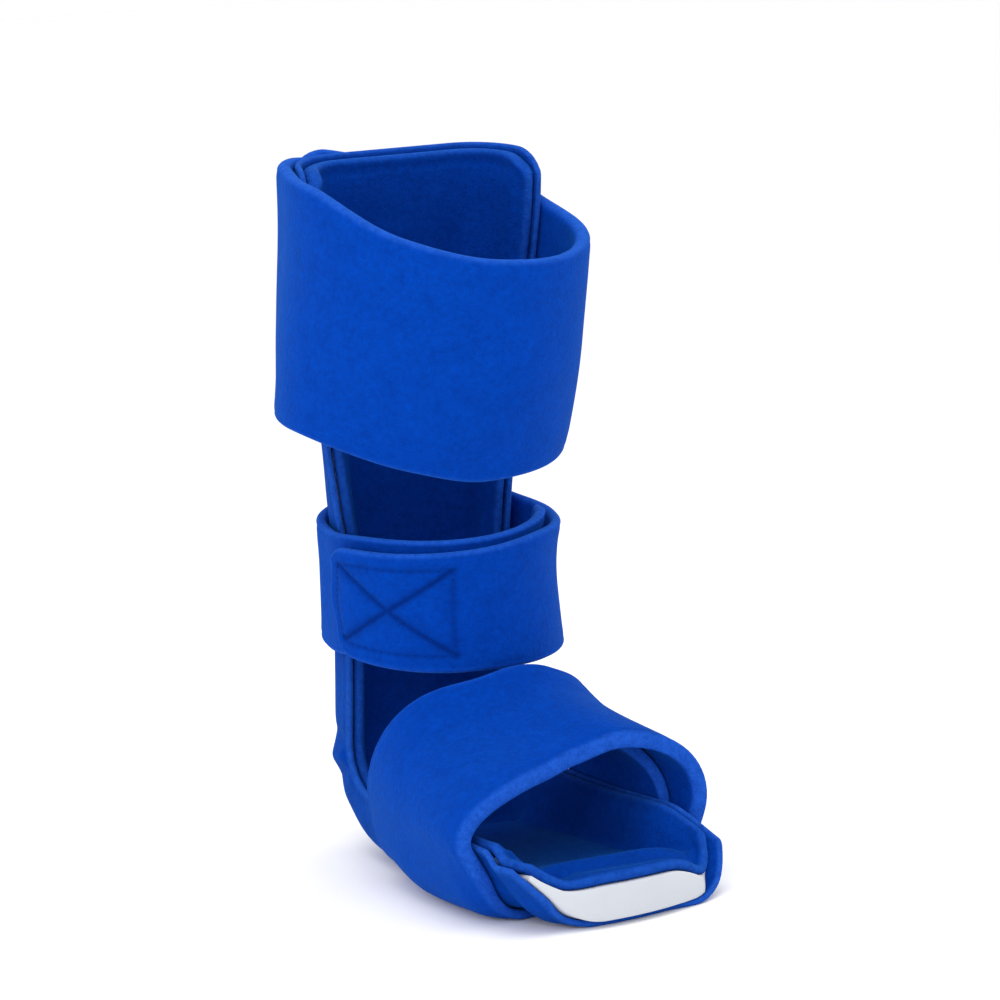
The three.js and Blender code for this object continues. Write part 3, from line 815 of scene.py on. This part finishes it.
@dataclass(frozen=True)
class TroughLayer:
    """One layer of the trough, lofted between its two offsets from the outer face."""

    form: TroughForm
    base: float
    thickness: float
    rim_margin: float
    top_margin: float
    pitch: float
    edge: float

    def margin(self, half: Half) -> Array:
        """Distance of the layer's rim from the trough's rim."""
        return np.full(half.length.shape, self.rim_margin)

    def low(self, half: Half, run: Array) -> Array:
        """Offset of the layer's outer face."""
        return np.full(run.shape, self.base)

    def rise(self, at: Array, half: Half, run: Array) -> tuple[Array, Array]:
        """Rise of the outer and the inner face over the toe end."""
        return np.zeros(run.shape), np.zeros(run.shape)

    def toe_edge(self, share: Array) -> Array:
        """Front of the layer at a share of the way to its rim."""
        return self.form.nose_edge(share)

    def relief(self, at: Array, half: Half, run: Array, back: Array) -> tuple[Array, Array]:
        """Swell of the outer and the inner face.

        Args:
            at: Places along the trough.
            half: Half sections there.
            run: Runs from the middle.
            back: Distances from the nearest rim.

        Returns:
            Growth of the thickness at the outer and at the inner face.
        """
        return np.zeros(run.shape), np.zeros(run.shape)

    def build(self, name: str) -> bpy.types.Object:
        """Lofts the layer.

        Args:
            name: Name of the piece.

        Returns:
            The closed piece.
        """
        form = self.form
        toe_start = form.sole(0.6)
        top = form.length - self.top_margin
        shin_half, sole_half = form.half(form.shin(0.5), 1.0), form.half(form.sole(0.5), 1.0)
        half_width = 0.5 * float(shin_half.length + sole_half.length)
        across = graded(0, 2 * half_width, self.pitch, self.edge) / half_width - 1
        start = form.half(0.0, np.sign(across))
        share = across * (1 - self.margin(start) / start.length)
        front = self.toe_edge(share)
        near = EDGE_STEPS * self.edge
        upright = np.linspace(top - self.edge, toe_start, int((top - toe_start) / self.pitch))
        upright = np.concatenate([top - near, upright])
        at = [np.full(across.shape, value) for value in upright]
        back_end = [np.full(across.shape, top - value) for value in upright]
        for t in np.linspace(0, 1, int(toe_start / self.pitch))[1:]:
            at.append(toe_start + t * (front + self.edge - toe_start))
            back_end.append(at[-1] - front)
        for value in near[::-1]:
            at.append(front + value)
            back_end.append(np.full(across.shape, value))
        at, back_end = np.array(at), np.array(back_end)
        half = form.half(at, np.broadcast_to(np.where(across < 0, -1.0, 1.0), at.shape))
        reach = half.length - self.margin(half)
        gone = np.clip(1 - (1 - np.abs(across)) * half_width / form.top_corner, 0, 1)
        near_top = smooth(form.shin(0.75), top, at)
        at = at - near_top * form.top_corner * (1 - np.sqrt(1 - gone**2 * 0.999))
        # The closely stepped rims keep their true width where the section grows or shrinks
        inset = (1 - np.abs(across)) * half_width
        inside = (half_width - inset) / (half_width - self.edge) * (reach - self.edge)
        run = np.where(inset < self.edge, reach - inset, inside)
        back = np.minimum(reach - run, back_end)
        fade = roundness(reach - run, self.edge) * roundness(back_end, self.edge)
        outer_swell, inner_swell = self.relief(at, half, run, back)
        under_rise, over_rise = self.rise(at, half, run)
        low = self.low(half, run)
        middle = low + self.thickness / 2
        pinch = (1 - fade) * (over_rise - under_rise) / 2
        x0, in0 = half.point(run, middle - fade * (self.thickness / 2 + outer_swell))
        x1, in1 = half.point(run, middle + fade * (self.thickness / 2 + inner_swell))
        lower = form.place(at, x0, in0 + under_rise + pinch)
        upper = form.place(at, x1, in1 + over_rise - pinch)
        # In the cloth materials the rim mark lightens the colour: a painted highlight along the layer's rims.
        rim = bump(0, 1.7, back)
        return pad_piece(name, lower, upper, {"rim": (rim, rim)})


@dataclass(frozen=True)
class Cover(TroughLayer):
    """Cloth cover of the trough. Each fold has its place on the heel's bend, its reach and its height."""

    base: float = 0.0
    thickness: float = 3.2
    rim_margin: float = 0.0
    top_margin: float = 0.0
    pitch: float = 2.0
    edge: float = 1.6
    toe_setback: float = 7.0
    folds: tuple[tuple[float, float, float], ...] = (
        (0.8, 8, 3.1),
        (0.97, 6, -1.1),
        (0.52, 8, 0.7),
        (0.66, 4, -0.5),
    )

    def toe_edge(self, share: Array) -> Array:
        """Front of the cover: set back in the middle, and as far out as the shell at its rims."""
        return self.form.nose_edge(share) + self.toe_setback * (1 - smooth(0.35, 0.7, np.abs(share)))

    def relief(self, at: Array, half: Half, run: Array, back: Array) -> tuple[Array, Array]:
        """Seam along the rim, and folds behind the heel that are strongest on the outer side."""
        seam = -0.45 * bump(5.5, 1.0, back)
        side = smooth(0.2, 0.8, run / half.length)
        corner = side * (half.side < 0) + 0.35 * side * (half.side > 0)
        slant = at + 14 * (run / half.length - 0.5)
        fold = 0 * run
        for share, reach, height in self.folds:
            fold = fold + height * bump(self.form.heel(share), reach, slant)
        hollow = smooth(2, 9, back)
        return seam + fold * corner * hollow, -0.2 * bump(5.5, 1.0, back)


@dataclass(frozen=True)
class Shell(TroughLayer):
    """Stiff white shell, which thickens to a rounded nose at the toe end."""

    base: float = 3.7
    thickness: float = 2.6
    rim_margin: float = 9.0
    top_margin: float = 16.0
    wing_setback: float = 7.0
    pitch: float = 3.6
    edge: float = 1.3

    def margin(self, half: Half) -> Array:
        """Distance of the shell's rim from the trough's rim."""
        return np.minimum(self.rim_margin, np.maximum(half.wing - 3, 0.5))

    def toe_edge(self, share: Array) -> Array:
        """Front of the shell: its nose, and set back behind the cloth on the inner wing."""
        return self.form.nose_edge(share) + self.wing_setback * smooth(0.68, 0.8, share)

    def rise(self, at: Array, half: Half, run: Array) -> tuple[Array, Array]:
        """Rise of the inner face over the thick toe end."""
        return np.zeros(run.shape), self.form.nose_rise(at, half, run, self.thickness)


@dataclass(frozen=True)
class Liner(TroughLayer):
    """Padded liner, pinched along its sewn rim."""

    base: float = 7.1
    thickness: float = 5.0
    rim_margin: float = 1.0
    top_margin: float = 2.0
    pitch: float = 2.0
    edge: float = 2.5
    toe_setback: float = 3.0
    rim_swell: float = 0.8
    top_swell: float = 2.4
    shell: Shell = Shell(TroughForm())

    def toe_edge(self, share: Array) -> Array:
        """Front of the liner, just behind the shell's."""
        return self.form.nose_edge(share) + self.toe_setback

    def low(self, half: Half, run: Array) -> Array:
        """Offset of the outer face: the liner closes on the cover past the shell's rim."""
        margin = self.shell.margin(half)
        past = smooth(half.length - margin, half.length - 3, run) * smooth(3, self.shell.rim_margin, margin)
        return self.base - self.shell.thickness * past

    def rise(self, at: Array, half: Half, run: Array) -> tuple[Array, Array]:
        """Rise of both faces over the shell's thick toe end."""
        rise = self.form.nose_rise(at, half, run, self.shell.thickness)
        return rise, rise

    def relief(self, at: Array, half: Half, run: Array, back: Array) -> tuple[Array, Array]:
        """Crown of the padding, the seam along its rim, and the swell that closes the rim on the cover."""
        points = np.stack([half.side * run, at, np.zeros(at.shape)], -1)
        swell = 0.55 * unevenness(points, 38, 7) * smooth(4, 20, back)
        seam = -1.0 * bump(6.0, 1.5, back)
        top_back = self.form.length - self.top_margin - at
        closed = self.rim_swell * bump(5, 4, back) + self.top_swell * (1 - smooth(4, 12, top_back))
        return closed, 0.5 * smooth(6, 22, back) + swell + seam


# Straps


@dataclass(frozen=True)
class Strap:
    """Padded strap wound round the trough and over its open front.

    A course row holds the turn (0 at the middle of the back or sole, 0.25 the outer side, 0.5 the front), the
    low and high edge as shares of the width, the lift as a share of the layer below, and the thickness and the
    standing out of the lower edge as shares of the thickness.
    """

    loops: StrapLoops
    course: Table
    level: float
    width: float
    thickness: float
    edge: float
    layer: float
    base: float = 1.2
    pitch: float = 1.6
    corner_start: float = 0.0
    corner_end: float = 0.0

    def end_wave(self, share: Array) -> Array:
        """Shift of the strap's first end in millimetres at a share of its width."""
        return np.zeros(share.shape)

    def relief(self, arc: Array, share: Array, back: Array, points: Array) -> tuple[Array, Array]:
        """Swell of the inner and the outer face.

        Args:
            arc: Distances from the strap's first end.
            share: Shares of the width, 0 at the lower edge.
            back: Distances from the nearest edge.
            points: Points of the outer face.

        Returns:
            Growth of the thickness at the inner and at the outer face.
        """
        lip = -0.4 * bump(3.6, 1.1, back)
        swell = 0.35 * unevenness(points, 55, 3) * smooth(3, 14, back)
        return np.zeros(arc.shape), lip + swell - 0.35

    def seam(self, arc: Array, share: Array) -> Array:
        """Nearness to a sewn line, from 0 to 1, by which the cloth's colour is darkened as painted shade."""
        return np.zeros(arc.shape)

    def grids(self) -> tuple[Array, Array, Array, dict[str, Array]]:
        """Grids of the inner and the outer face, distances from the first end, and the marks for the cloth's
        painted rim highlight and painted dent shade.
        """
        rows = self.course.rows
        first, last = rows[0][0], rows[-1][0]
        loop = self.loops.loop_length(self.level + self.width / 2)
        along = graded(0, (last - first) * loop, self.pitch, self.edge)
        across = graded(0, self.width, self.pitch, self.edge)
        arc, height = np.meshgrid(along, across, indexing="ij")
        share = height / self.width
        turn = first + arc / loop
        shift = self.end_wave(share) / loop * np.exp(-arc / 28)
        low = self.level + self.course.read("low", turn) * self.width
        high = self.level + self.course.read("high", turn) * self.width
        for radius, gone in ((self.corner_start, arc), (self.corner_end, arc[-1, 0] - arc)):
            if radius:
                d = np.clip(gone / radius, 0, 1)
                cut = radius * (1 - np.sqrt(1 - (1 - d) ** 2))
                low, high = low + cut, high - cut
        at = low + (high - low) * share
        span = (high - low) / self.width
        back_across = np.minimum(height, self.width - height) * span
        back_along = np.minimum(arc, along[-1] - arc)
        back = np.minimum(back_across, back_along)
        fade = roundness(np.minimum(height, self.width - height), self.edge, 2.3)
        fade = fade * roundness(back_along, self.edge, 2.3)
        full = self.thickness * self.course.read("thick", turn)
        stand = self.base + self.layer * self.course.read("lift", turn)
        stand = stand + self.thickness * self.course.read("flare", turn) * (1 - share) ** 2
        middle = stand + full / 2
        plain = self.loops.points(at, turn + shift, middle + full / 2)
        inner_swell, outer_swell = self.relief(arc, share, back, plain)
        inner = self.loops.points(at, turn + shift, middle - fade * (full / 2 + inner_swell))
        outer = self.loops.points(at, turn + shift, middle + fade * (full / 2 + outer_swell))
        # The rim mark paints a highlight along the edges and the sewn mark paints shade into the stitch dents,
        # in the cloth's material.
        return inner, outer, arc, {"rim": bump(0, 1.6, back), "sewn": self.seam(arc, share)}

    def build(self, name: str) -> bpy.types.Object:
        """Lofts the strap.

        Args:
            name: Name of the piece.

        Returns:
            The closed piece.
        """
        inner, outer, _, marks = self.grids()
        return pad_piece(name, inner, outer, {label: (value, value) for label, value in marks.items()})


COURSE = ("turn", "low", "high", "lift", "thick", "flare")
CALF_COURSE = Table(
    COURSE,
    (
        (0.03, 0, 1.04, 0, 1, 0.4),
        (0.14, 0.03, 1.1, 0, 1, 1.2),
        (0.27, 0.05, 1.09, 0, 1, 1.9),
        (0.4, -0.07, 0.93, 0, 1, 0.6),
        (0.5, -0.14, 0.84, 0, 1, 0),
        (0.6, -0.14, 0.81, 0, 1, 0),
        (0.75, -0.1, 0.85, 0, 1, 0),
        (0.92, 0, 0.98, 0.3, 1, 0.2),
        (1, 0.01, 1.03, 1, 1, 0.4),
        (1.1, 0.02, 1.1, 1, 1, 0.8),
    ),
)
ANKLE_COURSE = Table(
    COURSE,
    (
        (-0.72, 0.02, 0.77, 1, 0.9, 0),
        (-0.69, -0.07, 0.84, 1, 1, 0),
        (-0.6, -0.1, 0.88, 1, 1, 0),
        (-0.5, -0.11, 0.92, 1, 1, 0),
        (-0.42, -0.14, 0.95, 1, 1, 0.3),
        (-0.28, -0.2, 0.88, 1, 1, 0.6),
        (-0.18, -0.14, 0.9, 0.4, 1, 0.3),
        (-0.1, -0.06, 0.94, 0, 1, 0),
        (0.2, -0.2, 0.84, 0, 1, 0),
        (0.35, -0.06, 0.94, 0, 1, 0),
        (0.5, -0.02, 0.97, 0, 1, 0),
        (0.66, 0.04, 0.99, 0, 1, 0),
        (0.71, 0.1, 0.95, 0, 0.9, 0),
    ),
)
LAP, UNDER_SOLE = 6.5 / 8.5, 5 / 8.5
FOOT_COURSE = Table(
    COURSE,
    (
        (-0.38, 0.4, 0.84, 0, LAP, 0),
        (-0.19, 0.22, 0.94, 0, LAP, 0),
        (-0.13, 0.2, 0.98, 0, UNDER_SOLE, 0),
        (0, 0.17, 1, 0, UNDER_SOLE, 0),
        (0.11, 0.12, 1, 0, UNDER_SOLE, 0),
        (0.2, 0.08, 0.99, 0, 1, 0),
        (0.33, 0.12, 0.9, 0, 1, 0),
        (0.43, 0.16, 0.81, 0, 1, 0),
        (0.5, 0.18, 0.75, 0.35, 1, 0),
        (0.59, 0.18, 0.74, 1, 1, 0),
        (0.66, 0.19, 0.82, 1, 1, 0),
        (0.74, 0.2, 0.92, 1, 1, 0),
        (0.82, 0.22, 0.94, 1, 0.9, 0),
    ),
)


@dataclass(frozen=True)
class CalfStrap(Strap):
    """Wide strap of the calf end, which laps at the back."""


@dataclass(frozen=True)
class CrossStitch:
    """Box with a cross, sewn through the strap's end: places from the first end and the lower edge."""

    left: float = 6.0
    right: float = 57.0
    bottom: float = 9.0
    top: float = 55.0
    stitch: float = 2.6
    gap: float = 1.0
    thread: float = 0.5
    sunk: float = 0.42
    proud: float = 0.12

    @property
    def lines(self) -> tuple[tuple[float, float, float, float], ...]:
        """Ends of each sewn line."""
        a, b, c, d = self.left, self.right, self.bottom, self.top
        return ((a, c, b, d), (a, d, b, c), (a, c, a, d), (b, c, b, d), (a, c, b, c), (a, d, b, d))

    def dent(self, arc: Array, height: Array) -> Array:
        """Depth of the cloth drawn in by the thread.

        Args:
            arc: Distances from the strap's first end.
            height: Distances from its lower edge.

        Returns:
            Depth at each point, from 0 to about 1.
        """
        depth = np.zeros(arc.shape)
        for k, (x0, y0, x1, y1) in enumerate(self.lines):
            length = math.hypot(x1 - x0, y1 - y0)
            along = ((arc - x0) * (x1 - x0) + (height - y0) * (y1 - y0)) / length
            nearest = np.clip(along, 0, length)
            aside = arc - x0 - nearest * (x1 - x0) / length
            above = height - y0 - nearest * (y1 - y0) / length
            off = np.hypot(aside, above)
            strength = 1.0 if k < 2 else 0.5
            depth = np.maximum(depth, strength * (0.7 * bump(0, 1.2, off) + 0.3 * bump(0, 3.6, off)))
        return depth


@dataclass(frozen=True)
class AnkleStrap(Strap):
    """Middle strap, whose end is sewn to its hook patch and pressed on at the outer side."""

    sewing: CrossStitch = CrossStitch()

    def end_wave(self, share: Array) -> Array:
        """Wavy end of the strap."""
        return 1.6 * np.sin(2 * math.pi * (share * 1.25 + 0.1)) + 3.0 * (0.5 - share)

    def relief(self, arc: Array, share: Array, back: Array, points: Array) -> tuple[Array, Array]:
        """Lip along the edge, soft swell and the dents of the sewn box."""
        inner, outer = super().relief(arc, share, back, points)
        return inner, outer - 1.5 * self.sewing.dent(arc, share * self.width)

    def seam(self, arc: Array, share: Array) -> Array:
        """Nearness to the sewn box, by which the cloth's colour is darkened as painted shade in the dents."""
        return self.sewing.dent(arc, share * self.width)


@dataclass(frozen=True)
class FootStrap(Strap):
    """Wide strap under the trough's sole and over its open front, where it laps."""


@dataclass(frozen=True)
class Thread:
    """Stitches of the sewn box, one modelled stitch copied along each line."""

    strap: AnkleStrap

    def stitch(self) -> bpy.types.Object:
        """One stitch along X, its ends bent down into the cloth."""
        sewing = self.strap.sewing
        bpy.ops.object.select_all(action="DESELECT")
        upright = (0, math.pi / 2, 0)
        bpy.ops.mesh.primitive_uv_sphere_add(segments=6, ring_count=5, radius=0.5, rotation=upright)
        piece = bpy.context.object
        piece.name = "cross_stitch_thread"
        bpy.ops.object.transform_apply(location=False, rotation=True, scale=False)
        bpy.ops.object.mode_set(mode="EDIT")
        bpy.ops.mesh.select_all(action="SELECT")
        bpy.ops.transform.resize(value=(sewing.stitch, sewing.thread, sewing.thread))
        bpy.ops.object.mode_set(mode="OBJECT")
        for vertex in piece.data.vertices:
            vertex.co.z -= sewing.sunk * (abs(vertex.co.x) / (sewing.stitch / 2)) ** 3
        bpy.ops.object.shade_smooth()
        return piece

    def build(self, name: str) -> bpy.types.Object:
        """All stitches as one piece.

        Args:
            name: Name of the piece.

        Returns:
            The piece.
        """
        sewing = self.strap.sewing
        one = self.stitch()
        shape = np.array([vertex.co[:] for vertex in one.data.vertices])
        corners = [list(face.vertices) for face in one.data.polygons]
        bpy.data.objects.remove(one)
        _, outer, arc, _ = self.strap.grids()
        heights = graded(0, self.strap.width, self.strap.pitch, self.strap.edge)
        points, faces = [], []
        for x0, y0, x1, y1 in sewing.lines:
            length = math.hypot(x1 - x0, y1 - y0)
            count = int(length / (sewing.stitch + sewing.gap))
            for k in range(count):
                middle = (k + 0.5) * length / count
                ends = []
                for place in (middle - sewing.stitch / 2, middle, middle + sewing.stitch / 2):
                    x, y = x0 + place * (x1 - x0) / length, y0 + place * (y1 - y0) / length
                    ends.append(self._on_face(outer, arc[:, 0], heights, x, y))
                ahead = ends[2][0] - ends[0][0]
                ahead /= np.linalg.norm(ahead)
                up = ends[1][1]
                across = np.cross(up, ahead)
                across /= np.linalg.norm(across)
                up = np.cross(ahead, across)
                faces += [[i + len(points) * len(shape) for i in face] for face in corners]
                flat = ends[1][0] + shape[:, :1] * ahead + shape[:, 1:2] * across
                points.append(flat + (shape[:, 2:] + sewing.proud) * up)
        return piece_from(name, np.concatenate(points), faces)

    @staticmethod
    def _on_face(grid: Array, along: Array, across: Array, x: float, y: float) -> tuple[Array, Array]:
        """Point and outward normal of a grid at a distance along and across it."""
        i = int(np.clip(np.searchsorted(along, x) - 1, 0, len(along) - 2))
        j = int(np.clip(np.searchsorted(across, y) - 1, 0, len(across) - 2))
        u = (x - along[i]) / (along[i + 1] - along[i])
        v = (y - across[j]) / (across[j + 1] - across[j])
        a, b, c, d = grid[i, j], grid[i + 1, j], grid[i, j + 1], grid[i + 1, j + 1]
        point = (1 - u) * (1 - v) * a + u * (1 - v) * b + (1 - u) * v * c + u * v * d
        normal = np.cross(b - a, c - a)
        return point, normal / np.linalg.norm(normal)


# Studio


@dataclass(frozen=True)
class Studio:
    """White floor, soft lights and the camera at the photograph's angle."""

    turn: float = math.radians(-23.602)
    height: float = math.radians(8.963)
    roll: float = math.radians(-3.972)
    distance: float = 1.89887
    lens: float = 134.6
    target: Place = (0.0, -0.040, 0.165)
    aside: float = 0.0174
    above: float = 0.0260

    def floor(self) -> None:
        """Plain white floor."""
        bpy.ops.object.select_all(action="DESELECT")
        bpy.ops.mesh.primitive_plane_add(size=120, location=(0, 0, 0))
        floor = bpy.context.object
        floor.name = "studio_floor"
        material, tree, shader, _ = new_material("studio white")
        shader.inputs["Base Color"].default_value = (1.0, 1.0, 1.0, 1)
        shader.inputs["Roughness"].default_value = 0.9
        shader.inputs["Specular IOR Level"].default_value = 0.1
        dress(floor, material)

    def light(self, name: str, place: Place, size: float, power: float) -> None:
        """Square area light aimed at the splint.

        Args:
            name: Name of the light.
            place: Its place in metres.
            size: Length of its side in metres.
            power: Its power in watts.
        """
        lamp = bpy.data.lights.new(name, "AREA")
        lamp.size = size
        lamp.energy = power
        holder = bpy.data.objects.new(name, lamp)
        holder.location = place
        holder.rotation_euler = (Vector(self.target) - Vector(place)).to_track_quat("-Z", "Y").to_euler()
        bpy.context.scene.collection.objects.link(holder)

    def lights(self) -> None:
        """Even white surroundings, with softboxes above and at both sides."""
        world = bpy.data.worlds.new("studio surroundings")
        world.use_nodes = True
        world.node_tree.nodes["Background"].inputs["Color"].default_value = (1, 1, 1, 1)
        world.node_tree.nodes["Background"].inputs["Strength"].default_value = 1.0
        bpy.context.scene.world = world
        self.light("overhead", (-0.3, -0.6, 1.9), 1.2, 10)
        self.light("front", (-1.1, -1.8, 1.0), 1.0, 9)
        self.light("left", (-1.7, 0.35, 0.7), 0.7, 4)
        self.light("right", (1.6, 0.2, 0.8), 0.7, 4)

    def camera(self) -> None:
        """Camera at the photograph's angle."""
        a, e, r = self.turn, self.height, self.roll
        back = Vector((math.sin(a) * math.cos(e), -math.cos(a) * math.cos(e), math.sin(e)))
        right = Vector((math.cos(a), math.sin(a), 0))
        up = back.cross(right)
        across = math.cos(r) * right + math.sin(r) * up
        above = -math.sin(r) * right + math.cos(r) * up
        place = Vector(self.target) + back * self.distance
        away = (place - (Vector(self.target) + across * self.aside + above * self.above)).normalized()
        across = (across - away * across.dot(away)).normalized()
        above = away.cross(across)
        data = bpy.data.cameras.new("photo_view")
        data.lens = self.lens
        data.sensor_width = 36
        data.clip_end = 200
        camera = bpy.data.objects.new("photo_view", data)
        turned = Matrix((across, above, away)).transposed().to_4x4()
        turned.translation = place
        camera.matrix_world = turned
        bpy.context.scene.collection.objects.link(camera)
        bpy.context.scene.camera = camera


# Splint


# The third colour of each cloth is the colour of its painted rim highlight.
COVER_CLOTH = NapFinish("cover cloth", Slot.COVER, (0.0, 0.026, 0.22), (0.0, 0.05, 0.4), (0.03, 0.15, 0.66))
LINER_CLOTH = NapFinish("liner cloth", Slot.LINER, (0.0, 0.022, 0.19), (0.0, 0.045, 0.36), (0.02, 0.12, 0.58))
STRAP_CLOTH = NapFinish("strap cloth", Slot.STRAP, (0.0, 0.03, 0.26), (0.0, 0.056, 0.45), (0.03, 0.15, 0.7))
SHELL_PLASTIC = MouldedFinish("shell plastic", Slot.SHELL, (0.54, 0.565, 0.61), (0.51, 0.535, 0.585))
HOOK_TAPE = HookFinish("hook tape", Slot.HOOKS, (0.01, 0.05, 0.33), (0.003, 0.015, 0.12))
THREAD = ThreadFinish("blue thread", Slot.STRAP, (0.0, 0.035, 0.3), (0.0, 0.018, 0.17))


@dataclass(frozen=True)
class NightSplint:
    """The whole splint: trough, straps and sewing."""

    form: TroughForm = TroughForm()

    def pad(
        self, piece: bpy.types.Object, finish: NapFinish | MouldedFinish, node: str
    ) -> None:
        """Dresses a piece and ties it to the frame.

        Args:
            piece: The new piece.
            finish: Its finish.
            node: CAD node that it stands for.
        """
        dress(piece, finish.material())
        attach(piece, "root")
        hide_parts(node)
        LOG.info("%s: %d faces, stands for %s", piece.name, len(piece.data.polygons), node)

    def trough(self) -> None:
        """Cover, shell and liner."""
        shell = Shell(self.form)
        self.pad(Cover(self.form).build("cover_skin"), COVER_CLOTH, "outer_cover")
        self.pad(shell.build("shell_moulding"), SHELL_PLASTIC, "shell")
        self.pad(Liner(self.form, shell=shell).build("liner_pad"), LINER_CLOTH, "inner_liner")

    def straps(self) -> None:
        """Calf, ankle and foot strap, and the sewing."""
        loops = StrapLoops(self.form)
        start = self.form.shin_start
        calf = CalfStrap(
            loops,
            CALF_COURSE,
            level=start + 169,
            width=120,
            thickness=8.5,
            edge=4.25,
            layer=9.7,
            corner_end=12,
        )
        ankle = AnkleStrap(
            loops,
            ANKLE_COURSE,
            level=start + 59,
            width=64,
            thickness=6,
            edge=3,
            layer=8.8,
            pitch=1.3,
            corner_start=7,
        )
        foot = FootStrap(loops, FOOT_COURSE, level=23, width=138, thickness=8.5, edge=2.5, layer=7.7)
        self.pad(calf.build("calf_strap_pad"), STRAP_CLOTH, "calf_strap")
        self.pad(ankle.build("ankle_strap_pad"), STRAP_CLOTH, "ankle_strap")
        self.pad(foot.build("foot_strap_pad"), STRAP_CLOTH, "foot_strap")
        sewing = Thread(ankle).build("ankle_strap_stitches")
        dress(sewing, THREAD.material())
        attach(sewing, "root")
        LOG.info("%s: %d faces", sewing.name, len(sewing.data.polygons))

    def carried_over(self, nodes: dict[str, bpy.types.Object]) -> None:
        """Finish of the CAD node that shows as it is."""
        dress(nodes["ankle_hook_patch"], HOOK_TAPE.material())
        LOG.info("ankle_hook_patch: CAD node with its hook tape finish")


def main() -> None:
    """Builds the splint and its studio."""
    logging.basicConfig(level=logging.INFO, format="%(message)s")
    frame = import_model()
    splint = NightSplint()
    splint.trough()
    splint.straps()
    splint.carried_over(frame["nodes"])
    studio = Studio()
    studio.floor()
    studio.lights()
    studio.camera()
    bpy.context.scene.view_settings.view_transform = "Standard"
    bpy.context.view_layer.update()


if __name__ == "__main__":
    main()
